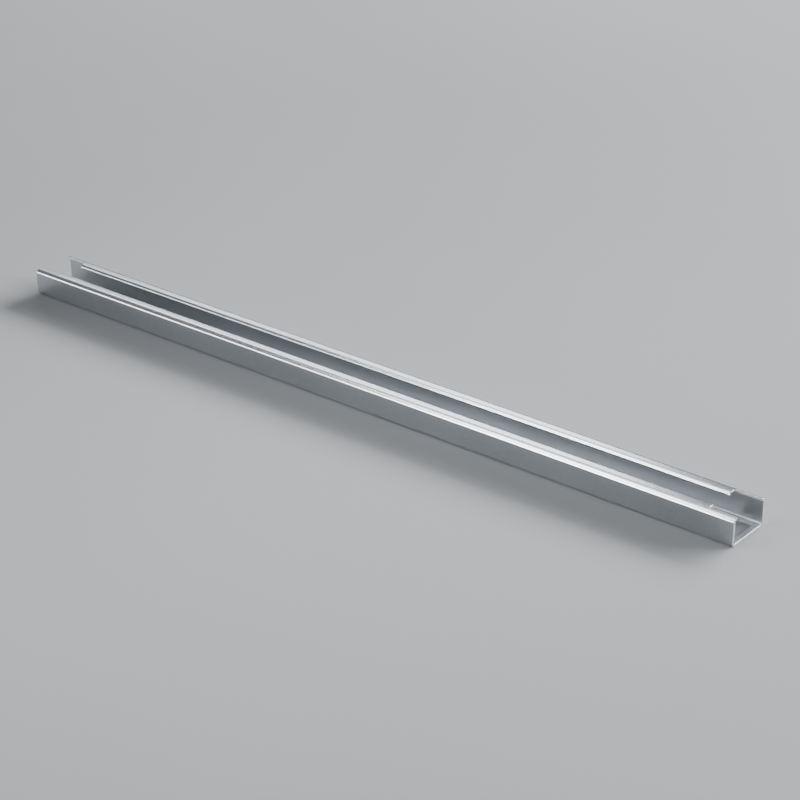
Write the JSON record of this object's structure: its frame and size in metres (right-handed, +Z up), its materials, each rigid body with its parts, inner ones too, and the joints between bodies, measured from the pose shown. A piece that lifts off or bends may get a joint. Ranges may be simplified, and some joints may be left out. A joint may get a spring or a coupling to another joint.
{
  "type": "breaker support rail",
  "caption": "Long lipped steel channel with turned-down lip edges, its ends notched back above a fixing window in the base, for carrying breakers in a cabinet.",
  "frame": {"origin": "middle of the rail's underside", "axes": "+X along the rail, +Y across it, +Z up out of the slot"},
  "size_m": [0.67, 0.04, 0.022],
  "materials": {
    "plated_steel": "bright zinc plating, satin, with fine rolling grain along the rail"
  },
  "bodies": {
    "root": {"rail": "plated_steel"}
  },
  "joints": []
}
